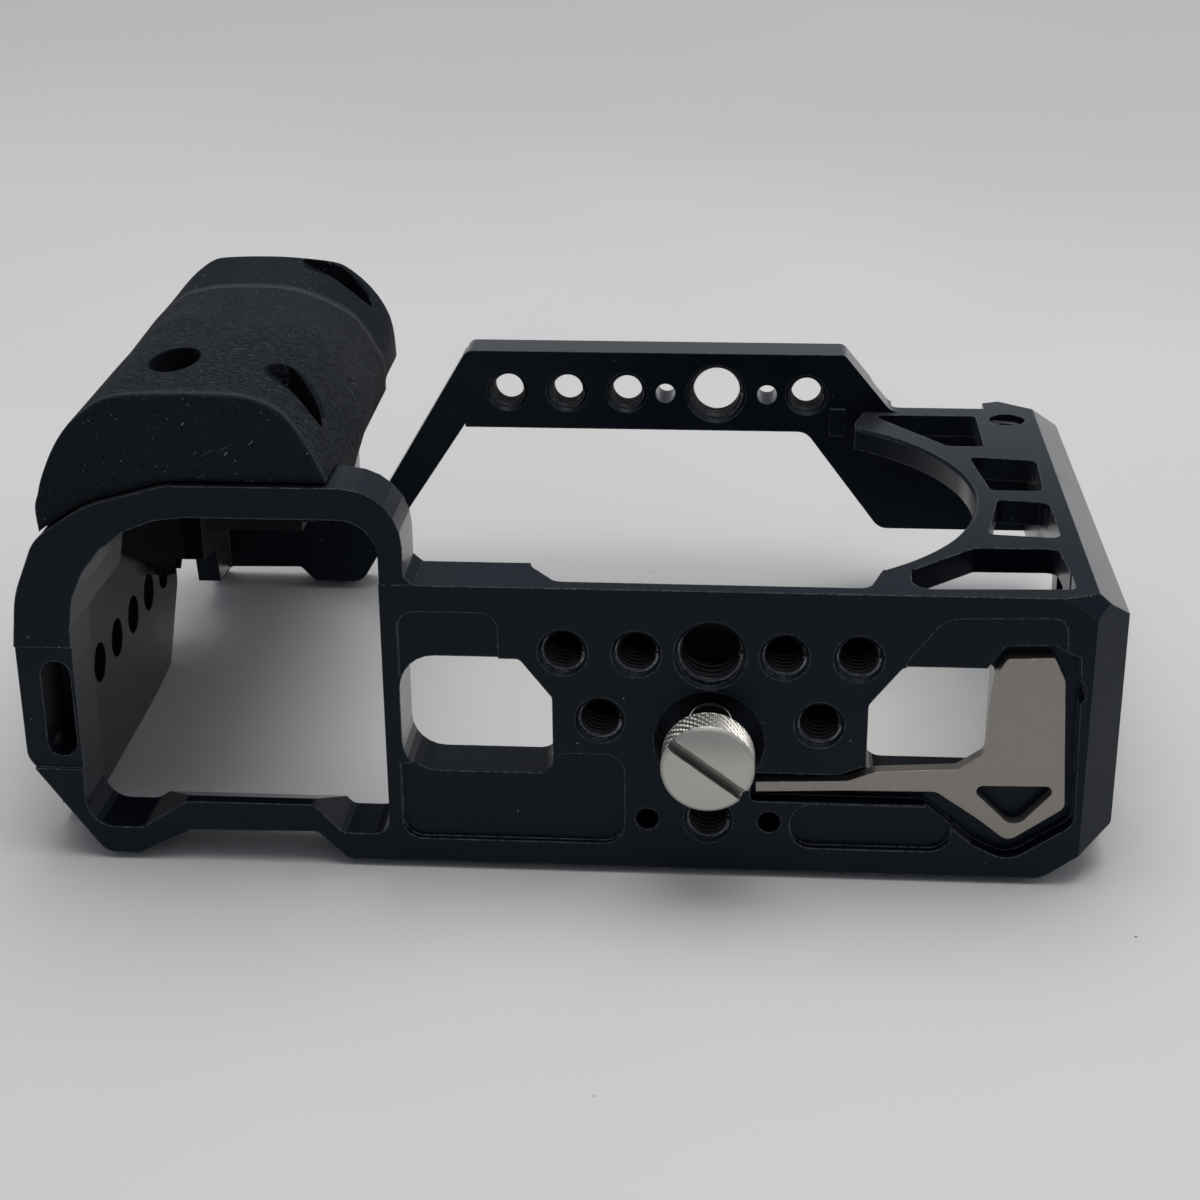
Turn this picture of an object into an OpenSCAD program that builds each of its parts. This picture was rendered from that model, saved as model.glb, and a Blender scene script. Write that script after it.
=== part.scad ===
// Camera cage with a side grip, a captive camera screw and a stowed screwdriver key.
// X runs from the grip to the cable side, Y from the bottom plate to the top plate, Z towards the lens.
// The origin is the mouth of the large tripod thread in the bottom plate.

/* [Frame] */
// Front-to-back depth of the bottom plate
body_depth = 43.8; // [42:0.1:46]
// Thickness of the bottom plate and of the grip loop, which are cut from one slab
plate_t = 9.5; // [9:0.1:11]
// Outer face of the bottom plate to inner face of the top plate
inner_height = 84; // [80:0.5:90]
// Thickness of the top plate
top_t = 7.2; // [6.5:0.1:8]
// Centre hole to the outer face of the cable side
right_x = 58.4; // [56:0.1:60]
// Thickness of the cable side plate
side_t = 5.2; // [4:0.1:6]
// Thickness of the web round the lens
web_t = 3.8; // [3:0.1:5]
// Radius of the lens cut-out
lens_r = 40.7; // [40:0.1:42]

/* [Threads] */
// Distance between neighbouring accessory holes
pitch = 10.4; // [10.2:0.05:10.6]
// Root radius of the quarter inch thread
quarter_r = 3.1; // [2.6:0.05:3.2]
// Root radius of the three eighths inch thread
large_r = 4.7; // [4:0.05:4.8]
// Width of the countersink at each thread mouth
mouth = 0.5; // [0.3:0.1:0.7]
// Height of the main hole row above the rear edge of the bottom plate
row_z = 34; // [33:0.1:35]
// Radius of the locating pin holes
pin_r = 1.7; // [1.5:0.05:1.8]
// Distance of each locating pin hole from the thread between them
pin_offset = 8.8; // [8.4:0.1:9.2]
// Place of the top plate's large thread along X
top_x = -1.2; // [-3:0.1:3]
// Height of the top plate's hole row above the rear edge of the bottom plate
top_z = 46.65; // [46:0.05:47.5]

/* [Camera screw] */
// Height of the camera screw above the rear edge of the bottom plate
screw_z = 20.6; // [20:0.1:22]
// Radius of the knurled head
head_r = 6.6; // [6:0.1:7]
// Height of the knurled head
head_h = 5.2; // [4.5:0.1:6]
// Radius of the counterbore that takes the head
counterbore_r = 7.9; // [7.7:0.1:8.2]
// Depth of the counterbore
counterbore_h = 6.4; // [6.2:0.1:7]
// How far the slack screw stands out of the bottom plate
head_out = 9; // [7:0.1:9]
// Length of the screw from the face of its head to its tip
screw_len = 16.4; // [16:0.1:17]

/* [Screwdriver key] */
// Thickness of the key
key_t = 2; // [1.8:0.1:2.2]

/* [Grip] */
// Height of the grip's near end above the rear edge of the bottom plate
grip_z = 70.8; // [69:0.1:72]
// Radius of the two screw wells in the grip
well_r = 3.6; // [3.4:0.1:4]

/* [Hidden] */
$fn = 64;
arc_steps = 6;
fit_gap = 0.1;
top_y = inner_height + top_t;
loop_x = -46.6;
wall_x = -93.7;
wall_t = 5;
turn_len = 17;
lens_centre = [-1, 41.8];
web_z = body_depth - web_t;
side_x = right_x - side_t;
key_face = 0.3;
// the cut that runs along the front edge of the cable side: its width and its height
edge_in = 4.8;
edge_down = 4.1;
corner_cut = 5.1;
lens_edge = 0.5;
lip_h = 3.8;
foot_h = 6.6;
code_pocket_h = 1;
upper_pocket_h = 0.6;
relief_h = 0.4;
oval_h = 1.2;
rim_t = 2;
rim_slope = 24;
left_x = -100;
turn_x = -73;
side_hole = [18.9, 22.4];
side_hole_step = 9.5;
thread_r = 3.1;
thread_len = 5;
neck_r = 2.4;
head_edge = 0.8;
slot_w = 1.6;
slot_h = 1.5;
slot_turn = 37;
washer_t = 0.8;
pocket_h = key_face + key_t + fit_gap;
// each well of the grip: X, Y and the height at which its screw head sits
screw_wells = [[-78.2, 20.5, 58], [-62.5, 26, 55]];
well_len = 4.4;
screw_r = 2;
core_z = [48, 55];
core_x = [-95, -59];
wall_top = 47.9;
magnet_r = 2;
magnet_h = 2;
magnet_places = [[44.5, 28], [44.5, 18]];
pad_t = 0.8;
pad_hole_r = 5;

// ---- outlines with rounded corners, each corner given as [x, y, radius] ----
function unit(v) = v / norm(v);
function fillet(a, b, c, r) =
    let (u = unit(a - b), v = unit(c - b), half = acos(u * v) / 2)
    let (centre = b + unit(u + v) * r / sin(half))
    let (p = b + u * r / tan(half) - centre, q = b + v * r / tan(half) - centre)
    let (from = atan2(p.y, p.x), turn = (atan2(q.y, q.x) - from + 540) % 360 - 180)
    [for (i = [0:arc_steps]) centre + r * [cos(from + turn * i / arc_steps), sin(from + turn * i / arc_steps)]];
function flat(corner) = [corner.x, corner.y];
function rounded(corners) =
    let (n = len(corners))
    [for (i = [0:n - 1])
        let (before = corners[(i + n - 1) % n], here = corners[i], after = corners[(i + 1) % n])
        each here.z > 0 ? fillet(flat(before), flat(here), flat(after), here.z) : [flat(here)]];

// ---- placing: heights are drawn from the rear edge and moved to the origin at the large thread ----
module in_place() { translate([0, 0, -row_z]) children(); }
// A slab lying in X and Z, from y to y + t
module slab_xz(y, t) { translate([0, y + t, 0]) rotate([90, 0, 0]) linear_extrude(t) children(); }
// A slab lying in Y and Z, from x to x + t
module slab_yz(x, t) { translate([x, 0, 0]) rotate([90, 0, 90]) linear_extrude(t) children(); }
// A slab lying in X and Y, from z to z + t
module slab_xy(z, t) { translate([0, 0, z]) linear_extrude(t) children(); }
// A round cut along +Y from y
module bore_y(x, z, y, h, r) { translate([x, y, z]) rotate([-90, 0, 0]) cylinder(h = h, r = r); }
// A countersink that opens towards -Y at y
module mouth_y(x, z, y, r) { translate([x, y, z]) rotate([-90, 0, 0]) cylinder(h = mouth, r1 = r + mouth, r2 = r); }
module threaded_y(x, z, y, h, r) {
    bore_y(x, z, y - 1, h + 2, r);
    mouth_y(x, z, y, r);
    translate([x, y + h, z]) mirror([0, 1, 0]) mouth_y(0, 0, 0, r);
}

// ---- outlines of the bottom slab ----
plate_outline = rounded([[loop_x, 0, 0], [48.2, 0, 5], [53.4, 3.9, 4], [right_x, 6.8, 0.8],
                         [right_x, body_depth - edge_down, 0], [right_x - edge_in, body_depth, 0],
                         [loop_x, body_depth, 0]]);
window_corners = [[-44.2, 14.5, 5], [-22.4, 14.5, 2.6], [-22.4, 27, 1.2], [-27, 32.9, 1.2], [-44.2, 32.9, 5]];
right_window_corners = [[40, 14.5, 1.5], [40, 32.9, 1.5], [27, 32.9, 1.2], [22.4, 27, 1.2], [22.4, 14.5, 2.6]];
code_pocket_corners = [[-44.6, 3.8, 3], [-12.1, 3.8, 3], [-12.1, 18.2, 3], [-21, 18.2, 2], [-24, 16, 0], [-44.6, 16, 0]];
upper_pocket_corners = [[-44.2, 30, 0], [-30, 30, 0], [-30, 39.8, 2.5], [-44.2, 39.8, 2.5]];
key_corners = [[6.8, 14.3, 0.1], [6.8, 12.8, 0.1], [19.5, 13.3, 2], [32.5, 13.5, 2], [38.4, 9.5, 3], [43.1, 5.8, 1.7],
               [50.8, 11.4, 1.5], [49.5, 31.3, 0.8], [47.9, 34.7, 0.5], [41.4, 34.4, 0.5], [40.1, 32.3, 0.8],
               [39.5, 27.6, 3], [39.1, 19.8, 1.4], [35.3, 17.1, 1.6], [23.8, 16.4, 3], [19.8, 14.8, 3]];
key_hole_corners = [[36.9, 14.6, 0.9], [50, 14.8, 0.9], [43.9, 7.8, 1.9]];
key_pocket_corners = [[6, 15.9, 0.8], [6, 11.3, 0.8], [31, 11.3, 3], [38, 5.2, 2], [43.3, 2.6, 4], [52.3, 8.8, 2.5],
                      [51.8, 28, 0.3], [52.4, 28.6, 0.3], [52.3, 30.8, 0.3], [51.6, 31.4, 0.3], [51.4, 35, 0.6],
                      [48.8, 35.9, 0.6], [48, 36.6, 0.6], [41, 36.4, 0.9], [38.6, 32.8, 0.9], [37.8, 21.4, 1.2],
                      [34.7, 18.4, 1.2], [22, 17.3, 3], [18.4, 15.9, 3]];
relief_corners = [[27.4, 33.6, 1], [32.6, 40.4, 4.5], [49.2, 40.8, 2.2], [51.6, 9, 2.5], [44, 4.5, 3], [30, 14, 2]];
oval_corners = [[11.8, 3.9, 3.2], [35, 3.9, 3.2], [35, 11, 3.2], [11.8, 11, 3.2]];

// The ledge cut behind the front lip, where the camera's lens mount passes
lip_corners = [[-22, 2.6, 2], [22, 2.4, 2], [24.2, plate_t, 0], [24.2, plate_t + 1, 0], [-26, plate_t + 1, 0],
               [-26, 8.4, 3]];
web_foot_corners = [[27.8, 2.4, 3], [50.5, 3.5, 1], [50.6, plate_t + 1, 0], [28.2, plate_t + 1, 0]];

module bottom_plate() color("#26282c") in_place() difference() {
    slab_xz(0, plate_t) polygon(plate_outline);
    slab_xz(-1, plate_t + 2) polygon(rounded(window_corners));
    slab_xz(-1, plate_t + 2) polygon(rounded(right_window_corners));
    slab_xz(-1, 1 + code_pocket_h) polygon(rounded(code_pocket_corners));
    slab_xz(-1, 1 + upper_pocket_h) polygon(rounded(upper_pocket_corners));
    slab_xz(-1, 1 + relief_h) polygon(rounded(relief_corners));
    slab_xz(-1, 1 + oval_h) polygon(rounded(oval_corners));
    slab_xz(-1, 1 + pocket_h) polygon(rounded(key_pocket_corners));
    for (i = [-2, -1, 1, 2]) threaded_y(i * pitch, row_z, 0, plate_t, quarter_r);
    threaded_y(0, row_z, 0, plate_t, large_r);
    for (side = [-1, 1]) threaded_y(side * 1.5 * pitch, row_z - pitch, 0, plate_t, quarter_r);
    threaded_y(0, row_z - 2.5 * pitch, 0, plate_t, quarter_r);
    for (side = [-1, 1]) bore_y(side * pin_offset, row_z - 2.5 * pitch, -1, plate_t + 2, pin_r);
    // the camera screw's counterbore and clearance hole
    bore_y(0, screw_z, -1, 1 + counterbore_h, counterbore_r);
    bore_y(0, screw_z, 0, plate_t + 1, thread_r + fit_gap);
    for (place = magnet_places) bore_y(place.x, place.y, pocket_h - 1, 1 + magnet_h + fit_gap, magnet_r + fit_gap);
    slab_xy(body_depth - lip_h, lip_h + 1) polygon(rounded(lip_corners));
    slab_xy(body_depth - foot_h, foot_h + 1) polygon(rounded(web_foot_corners));
    // the upright corner towards the cable side is cut at 45 degrees
    translate([right_x, 0, -1]) rotate([0, 0, -45]) translate([-corner_cut * sqrt(2) / 2, -10, 0])
        cube([20, 20, body_depth + 2]);
    // a facet takes off the point where that cut meets the front face
    translate([right_x - 10, 0, body_depth]) rotate([0, 0, 22.9]) rotate([58.3, 0, 0]) translate([-20, -20, 0])
        cube([60, 40, 20]);
}

// ---- the grip loop in the bottom slab, and the wall that it stands on ----
loop_outer = rounded([[loop_x, 0, 0], [-52.8, 0, 1.5], [-57.4, 4.4, 1.5], [-76.4, 4.1, 1.5], [-84.4, 0, 2], [-89.4, 0, 3],
                      [left_x, 15.2, 3], [left_x, 33, 0], [left_x + 1, 41, 16], [-95.4, 49.6, 7], [-87.9, 54.6, 16],
                      [-76, 57.9, 10], [-43, 58, 8.5], [-43, body_depth + 1.2, 0], [-41.6, body_depth, 0],
                      [loop_x, body_depth, 0]]);
loop_inner = rounded([[loop_x + 0.1, 4.3, 2.4], [-53.6, 4.3, 1.5], [-57.8, 8.8, 1], [-76.6, 8.8, 2], [-83.6, 4.3, 2.5],
                      [-91.7, 4.3, 4], [-91.7, 30, 0], [-90.8, 53.3, 18], [loop_x + 0.1, 53.3, 5.5]]);

module near_grip_loop() color("#26282c") in_place() difference() {
    slab_xz(0, plate_t) polygon(loop_outer);
    slab_xz(-1, plate_t + 2) polygon(loop_inner);
    // the strap slot, in a face set back below the seam
    slab_xz(-1, plate_t + 2) polygon(rounded([[-96.7, 15.5, 2], [-92.3, 15.5, 2], [-92.3, 30.6, 2], [-96.7, 30.6, 2]]));
    slab_xz(-1, 1.6) polygon([[left_x - 1, 33], [-90, 33], [-90, 13.6], [left_x - 1, 13.6]]);
    // behind the raised rim the lower wall falls away
    translate([-86, rim_t, 8.8]) rotate([-rim_slope, 0, 0]) cube([34, 2 * plate_t, 10]);
}

module grip_side_plate() color("#2a2c30") in_place() difference() {
    union() {
        slab_yz(wall_x - wall_t, wall_t) polygon(rounded([[plate_t, 3, 0], [56, 4.6, 4], [64.8, 17.4, 3], [64.8, 24, 2],
            [48, 36, 8], [26, 44, 4], [plate_t, 44, 0]]));
        // the front of the plate turns inwards with the loop
        intersection() {
            slab_xz(plate_t, turn_len) difference() {
                polygon(loop_outer);
                polygon(loop_inner);
            }
            translate([left_x - 1, plate_t, 36]) cube([turn_x - left_x + 1, turn_len, 24]);
        }
    }
    for (i = [0:4]) translate([wall_x - wall_t - 1, side_hole.x + i * side_hole_step, side_hole.y]) rotate([0, 90, 0])
        cylinder(h = wall_t + 2, r = quarter_r);
    translate([screw_wells[0].x, screw_wells[0].y, core_z[0]]) cylinder(h = 20, r = screw_r + fit_gap);
}

// ---- far end: top plate, shoulder and the wall behind the grip ----
module top_plate() color("#26282c") in_place() difference() {
    slab_xz(inner_height, top_t) polygon(rounded([[-45.2, 53.9, 1.5], [-45.2, 40, 0], [14.5, 40, 3], [27.8, 22.4, 3],
        [right_x, 22.4, 0], [right_x, body_depth - edge_down, 0], [right_x - edge_in, body_depth, 0],
        [29.2, body_depth, 3], [20.8, 53.9, 1.5]]));
    for (i = [-1.5, 1.5, -2.5, -3.5]) threaded_y(top_x + i * pitch, top_z, inner_height, top_t, quarter_r);
    threaded_y(top_x, top_z, inner_height, top_t, large_r);
    for (side = [-1, 1]) bore_y(top_x + side * pin_offset, top_z, inner_height - 1, top_t + 2, pin_r);
    // the outer face is cut back beside the shoulder
    translate([0, inner_height, 0]) slab_xy(30, 20) polygon([[25.4, top_t + 1], [26, 5.6], [29.3, 5.6], [29.3, 2.8],
        [45.2, 2.8], [45.2, 6], [48, top_t], [48, top_t + 1]]);
    // a facet takes off the corner towards the cable side
    translate([right_x - 10.3, top_y, body_depth]) rotate([0, 0, -37.9]) rotate([-34.4, 0, 0]) translate([-20, -20, 0])
        cube([60, 40, 20]);
}

module far_grip_wall() color("#26282c") in_place() {
    slab_xz(inner_height, top_t - 1.2) polygon(rounded([[-45.2, 53, 0], [-65.5, 18.9, 2], [-65.5, wall_top, 0],
        [-93, wall_top, 3], [-93, 9.8, 1], [-91, 9.8, 1], [-88.9, 12.7, 1], [-76.1, 12.9, 1], [-73.6, 10.2, 1.5],
        [-65, 10.2, 3], [-61.6, 15.8, 1.5], [-45.2, 40.6, 0]]));
    // the left end turns towards the bottom plate
    slab_yz(-93, 4) polygon([[66, 21], [74.5, 20], [76, 13], [inner_height + 1, 13], [inner_height + 1, 44], [66, 44]]);
}

module lens_web() color("#26282c") in_place() difference() {
    slab_xy(web_z, web_t) difference() {
        polygon([[23, plate_t], [side_x, plate_t], [side_x, inner_height], [24.4, inner_height], [22.6, 77.5],
                 [22.6, 70]]);
        translate(lens_centre) circle(r = lens_r, $fn = 160);
        polygon(rounded([[25.4, inner_height - 1.6, 1.2], [43.4, inner_height - 1.4, 1], [43.4, inner_height - 18.1, 1],
            [37.4, inner_height - 18.1, 1.5]]));
        polygon(rounded([[40.4, 60.6, 1.2], [51.2, 59.1, 1.8], [50.6, 44.2, 1.5], [42.5, 44.2, 1.2]]));
        polygon(rounded([[43.1, 40.1, 1], [50.9, 38.9, 1.8], [50.9, 23.6, 1.5], [40.4, 24.7, 1]]));
        polygon(rounded([[37.8, 18.9, 0.8], [49.9, 19.1, 1.8], [50.5, plate_t - 1, 0], [27.1, plate_t - 1, 0]]));
    }
    translate([lens_centre.x, lens_centre.y, body_depth - lens_edge])
        cylinder(h = 2 * lens_edge, r1 = lens_r, r2 = lens_r + 2 * lens_edge, $fn = 160);
    translate([48.6, inner_height - 3.4, web_z - 1]) cylinder(h = web_t + 2, r = quarter_r);
}

module cable_side_plate() color("#26282c") in_place() difference() {
    slab_yz(side_x, side_t) polygon([[plate_t, 6], [42, 6], [45, 17], [45.5, 29], [53, 31], [62, 31], [76, 22.8],
        [inner_height, 22.4], [inner_height, body_depth], [plate_t, body_depth]]);
    // port windows
    slab_yz(side_x - 1, side_t + 2) polygon(rounded([[18, 12, 3], [30.5, 12, 3], [30.5, 34, 3], [18, 34, 3]]));
    slab_yz(side_x - 1, side_t + 2) polygon(rounded([[34, 16, 2], [40.5, 16, 2], [40.5, 34, 2], [34, 34, 2]]));
    slab_yz(side_x - 1, side_t + 2) polygon(rounded([[50, 34, 1.2], [66, 34, 1.2], [66, 39, 1.2], [50, 39, 1.2]]));
    // the front edge is cut back at the same angle as the plates
    translate([right_x, 0, body_depth - edge_down]) rotate([0, -atan2(edge_in, edge_down), 0]) translate([0, -1, 0])
        cube([10, top_y + 2, 10]);
}

// ---- grip: a core between the loop and the far wall, a soft cover and two screws ----
module grip_core() color("#1c1c1e") in_place() difference() {
    translate([core_x[0], plate_t, core_z[0]]) cube([core_x[1] - core_x[0], inner_height - plate_t, core_z[1] - core_z[0]]);
    // clear of the side plate where that turns inwards
    translate([left_x - 1, plate_t - 1, core_z[0] - 1]) cube([turn_x - left_x + 1 + fit_gap, turn_len + 1 + fit_gap, 20]);
    translate([screw_wells[1].x, screw_wells[1].y, core_z[0] - 1]) cylinder(h = 20, r = screw_r + fit_gap);
}

// A thin slice of the grip in X and Z at y
module slice(y, corners) { slab_xz(y, 0.1) polygon(rounded(corners)); }
grip_near = [[-54, 50, 0], [-52.6, 58.4, 1.5], [-58.2, grip_z, 6], [-87.3, grip_z, 7], [-94.9, 53, 0], [-94.2, 46, 0]];
grip_quarter = [[-55.5, 49, 0], [-52.6, 57.5, 3], [-60.5, grip_z + 0.2, 9], [-84.8, grip_z + 0.2, 7], [-98.8, 54.6, 7],
                [-100.2, 46, 0]];
grip_middle = [[-57, 49, 0], [-54.2, 56.2, 3], [-62, grip_z - 0.6, 9], [-86.3, grip_z - 0.6, 7], [-99.4, 55, 7],
               [-100.4, 46, 0]];
grip_ridge = [[-57.6, 49, 0], [-56.8, 53.6, 2], [-62, 62.2, 4], [-71, grip_z - 4, 8], [-90.6, grip_z - 4, 6],
              [-100.2, 56, 6], [-100.6, 47, 0]];
grip_end = [[-57.8, 49, 0], [-57.8, 57.6, 4], [-62.4, 65.4, 4], [-68.6, grip_z - 1.9, 4], [-89.6, grip_z - 1.9, 4],
            [-98.6, 59, 6], [-100, 50, 0]];

module grip_cover() color("#303236") in_place() difference() {
    union() {
        hull() {
            slice(0.9, grip_near);
            slice(30, grip_quarter);
        }
        hull() {
            slice(30, grip_quarter);
            slice(46, grip_middle);
        }
        hull() {
            slice(46, grip_middle);
            slice(76, grip_ridge);
        }
        hull() {
            slice(76, grip_ridge);
            slice(91.4, grip_end);
        }
    }
    // the room for the loop, the core and the far wall
    translate([0, -0.5, 0]) slab_xz(0, plate_t + turn_len + 0.5) offset(delta = 0.15) polygon(loop_outer);
    translate([-110, plate_t, 30]) cube([70, inner_height + top_t - plate_t - 3, core_z[0] - 30]);
    translate([core_x[0] - fit_gap, plate_t, core_z[0] - 1])
        cube([core_x[1] - core_x[0] + 2 * fit_gap, inner_height - plate_t + 6.2, core_z[1] - core_z[0] + 1]);
    for (well = screw_wells) translate([well.x, well.y, well.z - 1]) cylinder(h = 20, r = well_r);
    // the left well is an oval along Y
    translate([screw_wells[0].x, screw_wells[0].y, screw_wells[0].z - 1]) {
        for (end = [-0.5, 0.5]) translate([0, end * well_len, 0]) cylinder(h = 20, r = well_r);
        translate([-well_r, -well_len / 2, 0]) cube([2 * well_r, well_len, 20]);
    }
    // the finger recess at the far end
    translate([-66, 85, core_z[1] + 4]) cylinder(h = 20, r = 5.5);
}

module grip_screws() color("#3a3a3c") in_place() for (well = screw_wells) translate(well) difference() {
    union() {
        translate([0, 0, -6.5]) cylinder(h = 6.5, r = screw_r);
        cylinder(h = 4, r = well_r - 0.4);
    }
    translate([0, 0, 2]) cylinder(h = 3, r = 1.75, $fn = 6);
}

// ---- captive camera screw and the nylon washer under its head ----
module camera_screw() color("#c9c7c2") in_place() translate([0, -head_out, screw_z]) rotate([-90, 0, 0]) difference() {
    union() {
        cylinder(h = head_edge, r1 = head_r - head_edge, r2 = head_r);
        translate([0, 0, head_edge]) cylinder(h = head_h - 1.5 * head_edge, r = head_r);
        translate([0, 0, head_h - head_edge / 2]) cylinder(h = head_edge / 2, r1 = head_r, r2 = head_r - head_edge / 2);
        translate([0, 0, head_h]) cylinder(h = screw_len - head_h - 0.6, r = neck_r);
        translate([0, 0, screw_len - thread_len]) cylinder(h = thread_len - 0.6, r = thread_r);
        translate([0, 0, screw_len - 0.6]) cylinder(h = 0.6, r1 = thread_r, r2 = thread_r - 0.6);
    }
    rotate([0, 0, slot_turn]) translate([-head_r - 1, -slot_w / 2, -1]) cube([2 * head_r + 2, slot_w, 1 + slot_h]);
}

module screw_washer() color("#18181a") in_place() translate([0, head_h - head_out, screw_z]) rotate([-90, 0, 0])
    difference() {
        cylinder(h = washer_t, r = 5.4);
        translate([0, 0, -1]) cylinder(h = washer_t + 2, r = neck_r + 0.05);
    }

// ---- screwdriver key held in its pocket by two magnets ----
module screwdriver_key() color("#b6aea2") in_place() slab_xz(key_face, key_t) difference() {
    polygon(rounded(key_corners));
    polygon(rounded(key_hole_corners));
}
module key_magnets() color("#a0a0a4") in_place() for (place = magnet_places)
    bore_y(place.x, place.y, pocket_h, magnet_h, magnet_r);

// ---- rubber sheet on the inner face of the bottom plate, which the camera stands on ----
pad_corners = [[-21.4, 3, 2], [21.4, 3, 2], [21.4, 27.4, 1], [25, 32, 1], [25.5, 39, 2], [-25.5, 39, 2], [-25, 32, 1],
               [-21.4, 27.4, 1]];
module camera_pads() color("#151515") in_place() slab_xz(plate_t, pad_t) difference() {
    polygon(rounded(pad_corners));
    translate([0, screw_z]) circle(r = pad_hole_r);
}

bottom_plate();
near_grip_loop();
cable_side_plate();
lens_web();
top_plate();
far_grip_wall();
grip_side_plate();
grip_core();
grip_cover();
grip_screws();
camera_screw();
screw_washer();
screwdriver_key();
key_magnets();
camera_pads();
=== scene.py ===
# %% [markdown]
# # A camera cage, dressed for its picture
# The cage is machined from aluminium and anodised black. It carries a soft side grip, a knurled
# camera screw and a flat steel key. The solids already have the true sizes, so this lesson adds
# what a solid can't show: finishes, threads, knurling and the grain of the grip.

# %% Load the solids
import math

import bpy
from mathutils import Matrix, Vector, noise


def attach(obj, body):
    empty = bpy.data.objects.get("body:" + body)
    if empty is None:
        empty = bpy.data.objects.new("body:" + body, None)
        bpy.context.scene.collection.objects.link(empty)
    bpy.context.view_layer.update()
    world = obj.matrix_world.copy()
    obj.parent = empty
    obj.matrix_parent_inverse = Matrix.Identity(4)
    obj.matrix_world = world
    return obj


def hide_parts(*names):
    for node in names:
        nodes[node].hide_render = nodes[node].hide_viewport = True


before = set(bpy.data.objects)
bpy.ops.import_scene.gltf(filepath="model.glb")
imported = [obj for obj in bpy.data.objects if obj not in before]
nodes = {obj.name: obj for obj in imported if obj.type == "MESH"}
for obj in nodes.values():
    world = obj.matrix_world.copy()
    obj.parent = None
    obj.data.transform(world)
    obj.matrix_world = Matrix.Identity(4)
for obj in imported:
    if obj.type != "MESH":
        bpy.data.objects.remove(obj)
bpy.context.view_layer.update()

MM = 0.001  # everything below is given in mm and stored in metres
REAR_TO_ROW = 34  # the grip is drawn from the plates' rear edge, this far below the hole row
print("solids:", sorted(nodes))

# %% [markdown]
# ## Camera
# The picture is taken by hand from a little above the bottom plate, which stands upright towards
# the viewer. A lens of 66 mm on a 36 mm sensor gives the same narrowing towards the far end.

# %% Camera
CAMERA_PLACE = Vector((5.504, -281.374, 124.336)) * MM
CAMERA_YAW = math.radians(-4.256)
CAMERA_PITCH = math.radians(22.372)
CAMERA_ROLL = math.radians(-0.44)
LENS_MM = 65.67

ahead = Vector((math.sin(CAMERA_YAW) * math.cos(CAMERA_PITCH),
                math.cos(CAMERA_YAW) * math.cos(CAMERA_PITCH), -math.sin(CAMERA_PITCH)))
level_right = Vector((math.cos(CAMERA_YAW), -math.sin(CAMERA_YAW), 0))
level_up = level_right.cross(ahead)
right = math.cos(CAMERA_ROLL) * level_right + math.sin(CAMERA_ROLL) * level_up
up = math.cos(CAMERA_ROLL) * level_up - math.sin(CAMERA_ROLL) * level_right

bpy.ops.object.camera_add()
camera = bpy.context.object
camera.name = "camera"
camera.data.sensor_width = 36
camera.data.lens = LENS_MM
camera.data.clip_start = 0.01
camera.data.clip_end = 20
camera.matrix_world = Matrix.Translation(CAMERA_PLACE) @ Matrix((
    (right.x, up.x, -ahead.x), (right.y, up.y, -ahead.y), (right.z, up.z, -ahead.z))).to_4x4()
bpy.context.scene.camera = camera
bpy.context.scene.view_settings.view_transform = "Standard"
print("camera looks along", tuple(round(v, 3) for v in ahead))

# %% [markdown]
# ## Helpers
# A material here is a Principled shader with a few nodes in front of it. The helpers keep the
# cells short: they add a node, start a material, do sums on masks, and mix colours.

# %% Node helpers
def add_node(tree, kind, **values):
    """Adds a node, and sets its properties and its input sockets by name."""
    node = tree.nodes.new(kind)
    for name, value in values.items():
        if name in node.inputs:
            node.inputs[name].default_value = value
        else:
            setattr(node, name, value)
    return node


def new_material(name, color, roughness, metallic=0.0, specular=0.5):
    material = bpy.data.materials.new(name)
    material.use_nodes = True
    tree = material.node_tree
    shader = tree.nodes["Principled BSDF"]
    shader.inputs["Base Color"].default_value = (*color, 1)
    shader.inputs["Roughness"].default_value = roughness
    shader.inputs["Metallic"].default_value = metallic
    shader.inputs["Specular IOR Level"].default_value = specular
    return material, tree, shader


def math_node(tree, operation, first, second=0.0, third=0.0, clamp=False):
    """A Math node whose inputs are sockets or plain numbers. Returns its output."""
    node = add_node(tree, "ShaderNodeMath", operation=operation, use_clamp=clamp)
    for slot, value in enumerate((first, second, third)):
        if isinstance(value, (int, float)):
            node.inputs[slot].default_value = value
        else:
            tree.links.new(value, node.inputs[slot])
    return node.outputs[0]


def product(tree, *factors):
    """All factors multiplied, one after the other."""
    result = factors[0]
    for factor in factors[1:]:
        result = math_node(tree, "MULTIPLY", result, factor)
    return result


def opposite(tree, value):
    return math_node(tree, "SUBTRACT", 1.0, value)


def ramp(tree, value, low, high, to_low=0.0, to_high=1.0):
    """Maps low..high to to_low..to_high with soft ends."""
    node = add_node(tree, "ShaderNodeMapRange", interpolation_type="SMOOTHSTEP")
    for slot, number in enumerate((low, high, to_low, to_high)):
        node.inputs[slot + 1].default_value = number
    tree.links.new(value, node.inputs[0])
    return node.outputs[0]


def band(tree, value, rise, fall):
    """1 between two places in mm and 0 outside, with soft ends."""
    up = ramp(tree, value, rise[0] * MM, rise[1] * MM)
    down = ramp(tree, value, fall[0] * MM, fall[1] * MM, 1.0, 0.0)
    return product(tree, up, down)


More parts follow.
